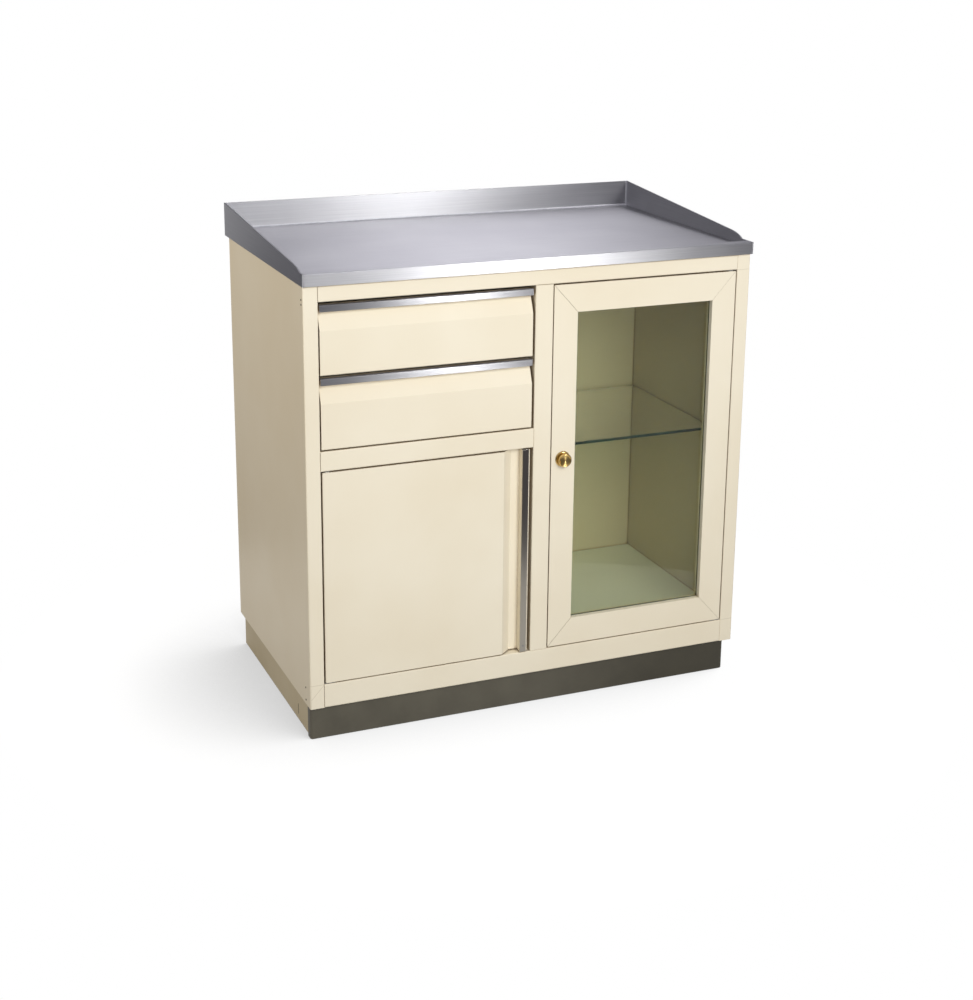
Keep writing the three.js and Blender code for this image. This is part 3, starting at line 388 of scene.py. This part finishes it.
SLOT_MATERIALS = {
    "enamel": enamel, "stainless": steel_x, "plated_steel": zinc, "brass": brass, "glass": glass,
    "vinyl": vinyl, "board": plywood, "nylon": nylon,
}
NODE_MATERIALS = {
    "left_side_panel": left_enamel, "right_side_panel": right_enamel,
    "left_side_splash": steel_y, "right_side_splash": steel_y,
    "upper_drawer_trim": trim_x, "lower_drawer_trim": trim_x, "solid_door_trim": trim_z_painted_warm,
    "back_panel": shaded_interior_enamel, "centre_partition": shaded_interior_enamel, "floor_panel": lit_floor_enamel,
    "plinth_left": scuffed_and_shaded_enamel, "plinth_right": scuffed_and_shaded_enamel,
    "plinth_back": scuffed_and_shaded_enamel, "plinth_front": scuffed_and_shaded_enamel,
}
FRAME_JOINTS = {"top_rail", "mid_rail", "bottom_rail", "centre_stile"}
FRAME_JOINT_ROUNDING = 0.3  # mm: these edges meet flush, so they are hardly broken
WELD_REACH = 0.02 * MM
FLAT_WITHIN, SHARP_OVER = math.radians(1), math.radians(40)
EDGE_ROUNDING = {"enamel": 0.6, "stainless": 0.4, "plated_steel": 0.3, "vinyl": 0.6, "board": 0.3, "nylon": 0.2}


def dress(name, slot):
    """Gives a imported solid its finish, and eases its sharp edges where the maker would have."""
    solid = frame["nodes"][name]
    solid.data.materials.clear()
    solid.data.materials.append(NODE_MATERIALS.get(name, SLOT_MATERIALS[slot]))
    if slot in EDGE_ROUNDING:
        weld = solid.modifiers.new("weld", "WELD")
        weld.merge_threshold = WELD_REACH
        flat = solid.modifiers.new("flat", "DECIMATE")
        flat.decimate_type = "DISSOLVE"
        flat.angle_limit = FLAT_WITHIN
        ease = solid.modifiers.new("ease", "BEVEL")
        ease.width = (FRAME_JOINT_ROUNDING if name in FRAME_JOINTS else EDGE_ROUNDING[slot]) * MM
        ease.segments = 2
        ease.limit_method = "ANGLE"
        ease.angle_limit = SHARP_OVER


for part in frame["record"]["subparts"]:
    dress(part["node"], part["material_slot"])


# Turned brass knob

def knob_piece():
    """The knob and its back plate: a stepped plate, a waisted neck and a rimmed head with a dished face, turned about
    the line that comes straight out of the door. The rows are (radius, height) in mm; the rim is part of an oval."""
    plate = [(0, 0), (15.5, 0), (15.5, 0.9), (15.1, 1.5), (14.2, 1.9), (13.6, 2.4), (12.6, 2.3), (9.0, 1.8)]
    neck = [(7.6, 3.2), (6.9, 4.2), (6.8, 5.4), (7.6, 6.8), (9.6, 8.2)]
    angle = np.linspace(math.radians(-70), math.radians(80), 12)
    (rim_radius, rim_height), (rim_wide, rim_deep) = (11.7, 12.0), (1.8, 2.9)
    rim = [rim_radius + rim_wide * np.cos(angle), rim_height + rim_deep * np.sin(angle)]
    head = np.stack(rim, axis=1).tolist()
    face = [
        (11.2, 14.7), (10.6, 14.0), (10.0, 13.55), (9.7, 13.5), (5.0, 13.5), (2.3, 13.5), (2.0, 13.4), (1.2, 12.9),
        (0, 12.7),
    ]
    profile = np.array(plate + neck + head + face) * MM
    points, faces = turned(profile, sides=64, centre=KNOB_CENTRE, axis=FORWARD)
    piece = mesh_piece("brass_knob", points, faces, "glass_door", [brass])
    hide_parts("knob", "knob_rosette")
    return piece


knob = knob_piece()


# Glass shelf with cut edges

ARRIS = 0.6 * MM


def shelf_piece():
    """The shelf as a slab with arrised edges, whose rim is the dark green of glass seen edge on."""
    low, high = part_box("glass_shelf")
    points, faces, columns = rounded_slab(low, high, ARRIS)
    rows = len(faces) // columns
    rim = np.zeros((rows, columns))
    rim[1:-1] = 1
    finishes = [shelf_glass, glass_edge]
    piece = mesh_piece("shelf_glass", points, faces, "carcass", finishes, rim.reshape(-1), smooth=False)
    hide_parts("glass_shelf")


shelf_piece()


# Worktop folds and welds

def cove(name, start, end, u, v, radius):
    """A hollow fillet along a corner: the corner point and a quarter circle curving away from it."""
    angle = np.linspace(0, np.pi / 2, 7)
    arc = np.stack([1 - np.sin(angle), 1 - np.cos(angle)], axis=1)
    section = np.concatenate([[[0, 0]], arc]) * radius
    points, faces = carried(section, start, end, u, v)
    return mesh_piece(name, points, faces, "carcass", [polish_and_painted_highlight], smooth=False)


deck_low, deck_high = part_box("worktop_deck")
DECK_TOP = 897 * MM
SPLASH_THICKNESS = 3 * MM
FOLD_RADIUS, WELD_RADIUS = 4 * MM, 3 * MM
WELD_TOP = deck_high.z - 0.5 * MM
SPLASH_FACE = deck_high.y - SPLASH_THICKNESS
left_foot, right_foot = (deck_low.x, SPLASH_FACE, DECK_TOP), (deck_high.x, SPLASH_FACE, DECK_TOP)
coves = [cove("splash_fold", left_foot, right_foot, FORWARD, UP, FOLD_RADIUS)]
for side, foot, inward in (("left", left_foot, (1, 0, 0)), ("right", right_foot, (-1, 0, 0))):
    head = (foot[0], SPLASH_FACE, WELD_TOP)
    coves.append(cove(f"{side}_corner_weld", foot, head, inward, FORWARD, WELD_RADIUS))


# Screws and rivets

def screw_head(name, centre, axis, radius, body, material):
    """A low round head with a driver recess: a dome that dips at its middle, turned about its axis."""
    profile = [(0, 0), (1, 0), (1, 0.18), (0.93, 0.34), (0.75, 0.46), (0.5, 0.5), (0.34, 0.48), (0.3, 0.3), (0, 0.28)]
    points, faces = turned(np.array(profile) * radius, sides=24, centre=centre, axis=axis)
    mesh_piece(name, points, faces, body, [material])


side_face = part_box("left_side_panel")[0].x
SCREW_RADIUS, RIVET_RADIUS, RIVET_HEIGHT = 1.7 * MM, 1.6 * MM, 128 * MM
SIDE_SCREWS = ((9, 858.7), (9, 849.9), (28, 101), (28, 75.6))  # mm behind the face, and above the ground
# The side screws are coloured nearly black, as the dark of a hole: painted shade.
for number, (y, z) in enumerate(SIDE_SCREWS, start=1):
    place = (side_face, FACE + y * MM, z * MM)
    screw_head(f"side_screw_{number}", place, OUT_TO_LEFT, SCREW_RADIUS, "carcass", hole_shade_colour)
trim_low, trim_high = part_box("solid_door_trim")
rivet_place = ((trim_low.x + trim_high.x) / 2, trim_low.y, RIVET_HEIGHT)
screw_head("trim_rivet", rivet_place, FORWARD, RIVET_RADIUS, "solid_door", zinc)


def punched_slot(name, start, end, width):
    """A slotted hole in a left-hand face, drawn as a dark cover: an oval rim round the stretch from start to end,
    closed over just proud of the sheet, painted shade for the hole. Point(i, t) = nearer end + r_i (cos t along + sin
    t across) + h_i outwards."""
    start, end = np.array(start), np.array(end)
    along = (end - start) / np.linalg.norm(end - start)
    across = np.cross(along, OUT_TO_LEFT)
    sides = 24
    angle = np.linspace(0, 2 * np.pi, sides, endpoint=False) + np.pi / sides
    ring = np.cos(angle)[:, None] * along - np.sin(angle)[:, None] * across
    near = np.where(np.cos(angle)[:, None] > 0, end, start)
    profile = np.array([(0, 0), (0.5, 0), (0.5, 0.1), (0.42, 0.14), (0, 0.14)]) * (width, MM)
    middle = (start + end) / 2
    rows = [(near if r else middle) + r * ring + h * np.array(OUT_TO_LEFT) for r, h in profile]
    faces = grid_faces(len(rows), sides, wrap_columns=True)
    mesh_piece(name, np.concatenate(rows), faces, "carcass", [hole_shade_colour], smooth=False)


plinth_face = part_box("plinth_left")[0].x
SLOT_SETBACK, SLOT_TOP, SLOT_FOOT, SLOT_WIDTH = 99.5 * MM, 34 * MM, 14 * MM, 2.2 * MM
slot_y = FACE + SLOT_SETBACK
punched_slot("plinth_slot_shade_cover", (plinth_face, slot_y, SLOT_TOP), (plinth_face, slot_y, SLOT_FOOT), SLOT_WIDTH)


# Dark green line round the pane, at the edge of the opening

SIGHT_INSET = 9.5 * MM  # from the edge of the bead to the edge of the opening


def glazing_line():
    """A thin rectangular ring on the front of the pane at the edge of the opening: a flat section of four points
    carried round the four corners, point(i, corner) = corner moved in by a_i, at depth b_i."""
    low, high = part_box("glazing_bead")
    pane_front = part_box("glass_pane")[0].y
    inward = np.array([1, 1, -1, -1])
    sight = np.array([low.x, low.z, high.x, high.z]) + inward * SIGHT_INSET
    section = [(-0.4, 0.0), (-0.4, -0.8), (0.9, -0.8), (1.2, 0.0)]
    rows = []
    for inset, depth in np.array(section) * MM:
        x0, z0, x1, z1 = sight + inward * inset
        y = pane_front + depth
        rows += [(x0, y, z0), (x1, y, z0), (x1, y, z1), (x0, y, z1)]
    faces = grid_faces(len(section), 4, wrap_rows=True, wrap_columns=True)
    mesh_piece("glazing_line", np.array(rows), faces, "glass_door", [glass_edge], smooth=False)


glazing_line()


# Stage, light and camera

def paper_white(tree, in_gloss):
    """How far a ray sees the paper as white: fully from the camera and through glass, in part in a glossy surface."""
    path = node(tree, "LightPath").outputs
    gloss = node(tree, "Math", {0: path["Is Glossy Ray"], 1: in_gloss}, operation="MULTIPLY")
    eye = node(tree, "Math", {0: path["Is Camera Ray"], 1: gloss.outputs[0]}, operation="MAXIMUM")
    return node(tree, "Math", {0: eye.outputs[0], 1: path["Is Transmission Ray"]}, operation="MAXIMUM").outputs[0]


def studio_floor():
    """A round pale floor, point(i, t) = r_i (cos t, sin t): paper white to the eye, with a painted soft shadow of the
    cabinet close round it from ambient occlusion, leaning away from the light, and painted nearly black where the
    cabinet shuts it in."""
    material, tree = new_material("white_paper_floor")
    paper = node(tree, "BsdfDiffuse", {"Color": hex_linear("#807e7a")})
    lean = node(tree, "CombineXYZ", {"X": 0.55, "Y": -0.35, "Z": 0.76})
    shadow_reach, shut_reach = 380 * MM, 300 * MM
    # Painted shadow: the floor's white emission is dimmed by ambient occlusion near the cabinet, and darkened where it
    # is shut in.
    open_sky = node(tree, "AmbientOcclusion", {"Distance": shadow_reach, "Normal": lean.outputs[0]}, samples=16)
    floor_glow_with_painted_shadow = node(tree, "MapRange", {
        "Value": open_sky.outputs["AO"], "From Min": 0.3, "From Max": 0.85, "To Min": 0.58, "To Max": 0.96,
    })
    enclosed = node(tree, "AmbientOcclusion", {"Distance": shut_reach}, samples=8)
    shut = node(tree, "MapRange", {
        "Value": enclosed.outputs["AO"], "From Min": 0.02, "From Max": 0.2, "To Min": 0.06,
    })
    lit = node(tree, "Math", {0: floor_glow_with_painted_shadow.outputs[0], 1: shut.outputs[0]}, operation="MULTIPLY")
    shine = node(tree, "Emission", {"Color": hex_linear("#ffffff"), "Strength": lit.outputs[0]})
    shade = node(tree, "BsdfDiffuse", {"Color": hex_linear("#404040")})
    seen = node(tree, "AddShader", {0: shade.outputs[0], 1: shine.outputs[0]})
    mixed = node(tree, "MixShader", {"Fac": paper_white(tree, 0.6), 1: paper.outputs[0], 2: seen.outputs[0]})
    node(tree, "OutputMaterial", {"Surface": mixed.outputs[0]})
    sides, hub, radius, drop = 96, 0.05, 1.0, 0.5 * MM
    angle = np.linspace(0, 2 * np.pi, sides, endpoint=False)
    ring = np.stack([np.cos(angle), np.sin(angle), 0 * angle], axis=1)
    points = np.concatenate([ring * hub, ring * radius]) - np.array([0, 0, drop])
    faces = grid_faces(2, sides, wrap_columns=True).tolist() + [list(range(sides))]
    mesh = bpy.data.meshes.new("floor")
    mesh.from_pydata(points.tolist(), [], faces)
    mesh.materials.append(material)
    floor = bpy.data.objects.new("floor", mesh)
    bpy.context.scene.collection.objects.link(floor)


def studio_world(ambient):
    """White all round to the eye. Gloss sees a dim room with four pale patches in it, each the product of soft steps
    in the ray's x, y and z: paper behind with a bright band, the ceiling in front, what is overhead, and paper on the
    left. A step is (what it goes by, start, end, level before, level after)."""
    world = bpy.data.worlds.new("studio")
    bpy.context.scene.world = world
    world.use_nodes = True
    tree = world.node_tree
    tree.nodes.clear()
    path = node(tree, "LightPath").outputs
    axes = node(tree, "SeparateXYZ", {"Vector": node(tree, "TexCoord").outputs["Generated"]}).outputs
    x, y, z = axes[0], axes[1], axes[2]
    band_x = 0.375
    aside = node(tree, "Math", {0: x, 1: band_x}, operation="SUBTRACT")
    off_band = node(tree, "Math", {0: aside.outputs[0]}, operation="ABSOLUTE").outputs[0]
    back_paper = (
        (off_band, 0.02, 0.15, 1.3, 0.045), (y, 0.0, 0.3, 0.0, 1.0), (x, -0.3, 0.15, 0.35, 1.0),
        (z, -0.1, 0.1, 0.0, 1.0),
    )
    front_ceiling = ((z, 0.0, 0.45, 0.0, 0.4), (y, 0.1, -0.2, 0.0, 1.0), (x, 0.65, 0.2, 0.35, 1.0))
    overhead = ((z, 0.85, 0.97, 0.0, 0.4),)
    left_paper = (
        (x, -0.1, -0.3, 0.0, 1.0), (x, -0.52, -0.44, 0.02, 0.1), (y, 0.3, 0.6, 0.0, 1.0), (z, 0.0, 0.08, 0.0, 1.0),
    )
    paper = 0.0
    for patch in (back_paper, front_ceiling, overhead, left_paper):
        level = 1.0
        for value, start, end, before, after in patch:
            ends = {"Value": value, "From Min": start, "From Max": end, "To Min": before, "To Max": after}
            step = node(tree, "MapRange", ends, interpolation_type="SMOOTHSTEP")
            level = node(tree, "Math", {0: level, 1: step.outputs[0]}, operation="MULTIPLY").outputs[0]
        paper = node(tree, "Math", {0: paper, 1: level}, operation="ADD").outputs[0]
    share = node(tree, "MapRange", {"Value": paper, "To Min": 0.13, "To Max": 1.0}, clamp=False)
    gloss = node(tree, "VectorMath", {0: hex_linear("#f7f5ff")[:3], "Scale": share.outputs[0]}, operation="SCALE")
    eye = node(tree, "Math", {0: path["Is Camera Ray"], 1: path["Is Transmission Ray"]}, operation="MAXIMUM")
    grey, white = (ambient, ambient, ambient, 1.0), hex_linear("#ffffff")
    first = node(tree, "MixRGB", {"Fac": path["Is Glossy Ray"], "Color1": grey, "Color2": gloss.outputs[0]})
    seen = node(tree, "MixRGB", {"Fac": eye.outputs[0], "Color1": first.outputs[0], "Color2": white})
    sky = node(tree, "Background", {"Color": seen.outputs[0], "Strength": 1.0})
    node(tree, "OutputWorld", {"Surface": sky.outputs[0]})


def soft_box(name, place, aim, width, height, power, tint="#ffffff", diffuse=True, only=()):
    """An even rectangular lamp that faces a point: either the light that falls on things, or the shape seen in them,
    which may be kept to some of them."""
    lamp = bpy.data.lights.new(name, "AREA")
    lamp.shape = "RECTANGLE"
    lamp.size, lamp.size_y = width, height
    lamp.energy = power
    lamp.color = hex_linear(tint)[:3]
    box = bpy.data.objects.new(name, lamp)
    box.location = place
    box.rotation_euler = (Vector(aim) - Vector(place)).to_track_quat("-Z", "Y").to_euler()
    box.visible_diffuse, box.visible_glossy = diffuse, not diffuse
    bpy.context.scene.collection.objects.link(box)
    if only:
        seen_in = bpy.data.collections.new(name + "_seen_in")
        for thing in only:
            seen_in.objects.link(thing)
        box.light_linking.receiver_collection = seen_in


def photo_camera(azimuth, elevation, roll, distance, target, lens, shift):
    """A camera on a sphere about the target, rolled about its own line of sight."""
    a, e, r = (math.radians(angle) for angle in (azimuth, elevation, roll))
    back = Vector((math.sin(a) * math.cos(e), -math.cos(a) * math.cos(e), math.sin(e)))
    right = Vector((math.cos(a), math.sin(a), 0))
    up = back.cross(right)
    across = math.cos(r) * right + math.sin(r) * up
    over = -math.sin(r) * right + math.cos(r) * up
    data = bpy.data.cameras.new("photo_camera")
    data.lens, data.sensor_width, data.shift_y = lens, 36, shift
    data.clip_end = 50
    camera = bpy.data.objects.new("photo_camera", data)
    turn = Matrix((across, over, back)).transposed().to_4x4()
    camera.matrix_world = Matrix.Translation(Vector(target) + back * distance) @ turn
    bpy.context.scene.collection.objects.link(camera)
    bpy.context.scene.camera = camera


studio_floor()
studio_world(ambient=0.32)
trims = [frame["nodes"][name] for name in ("upper_drawer_trim", "lower_drawer_trim", "solid_door_trim")]
bright_top = [frame["nodes"][name] for name in ("worktop_deck", "left_side_splash", "right_side_splash")] + coves

# Lamps that fall on the paint, as (name, place, aim, width, height, watts, tint).
for lamp in (
    ("key", (-0.03, -2.6, 1.58), (0, -0.1, 0.5), 1.5, 1.5, 51.5, "#ffffff"),
    ("low_fill", (-0.1, -2.6, 0.35), (0, -0.1, 0.4), 1.0, 0.5, 3.8, "#ffffff"),
    ("left_fill", (-2.4, 0.3, 2.2), (-0.4, 0, 0.6), 1.2, 1.2, 27, "#fff0d8"),
    ("back_fill", (0.5, 2.9, 1.8), (0, 0.2, 0.5), 1.5, 1.5, 34, "#ffffff"),
    ("right_fill", (2.9, 0.4, 1.8), (0.4, 0, 0.5), 1.2, 1.2, 24, "#ffffff"),
):
    soft_box(*lamp)

# Strips and cards that are only seen in the metal, as (name, place, aim, width, height, watts, what shows them).
STRIP_Y = -3.1
FRONT_MIDDLE, TOP_MIDDLE, LEFT_BACK_CORNER = (0, -0.1, 0.7), (0, 0, 0.9), (-0.459, 0.28, 0.93)
deck, left_splash, right_splash = ([piece] for piece in bright_top[:3])
for *shape, shown_in in (
    ("low_strip", (1.19, STRIP_Y, 0.45), FRONT_MIDDLE, 0.72, 0.8, 15.5, bright_top),
    ("high_strip", (1.16, STRIP_Y, 1.85), FRONT_MIDDLE, 0.2, 0.7, 18, bright_top),
    ("right_strip", (1.62, STRIP_Y, 1.85), FRONT_MIDDLE, 0.4, 0.7, 2.2, bright_top),
    ("left_strip", (0.46, STRIP_Y, 1.85), FRONT_MIDDLE, 0.07, 0.7, 4.5, bright_top),
    ("left_card", (-0.7, 1.65, 0.75), LEFT_BACK_CORNER, 0.3, 0.6, 0.24, bright_top),
    ("back_card_left", (-2.2, 2.4, 0.1), TOP_MIDDLE, 1.3, 1.4, 11, deck),
    ("back_card", (0.0, 2.9, 0.1), TOP_MIDDLE, 1.3, 1.4, 11, deck),
    ("back_card_right", (2.2, 2.4, 0.1), TOP_MIDDLE, 1.3, 1.4, 11, deck),
    ("side_card_left", (-3.0, 0.2, 0.1), TOP_MIDDLE, 1.3, 1.4, 11, left_splash),
    ("side_card_right", (3.0, 0.2, 0.1), TOP_MIDDLE, 1.3, 1.4, 11, right_splash),
    ("trim_strip", (0.96, STRIP_Y, 1.5), FRONT_MIDDLE, 0.2, 1.4, 25, trims),
    ("knob_light", (1.41, STRIP_Y, 0.82), KNOB_CENTRE, 0.3, 0.3, 30, [knob]),
):
    soft_box(*shape, diffuse=False, only=shown_in)

photo_camera(
    azimuth=-22.76, elevation=15.78, roll=0.56, distance=3.5314, target=(0.0029, -0.0115, 0.5646), lens=62.23,
    shift=-0.1,
)

bpy.context.scene.view_settings.view_transform = "Standard"
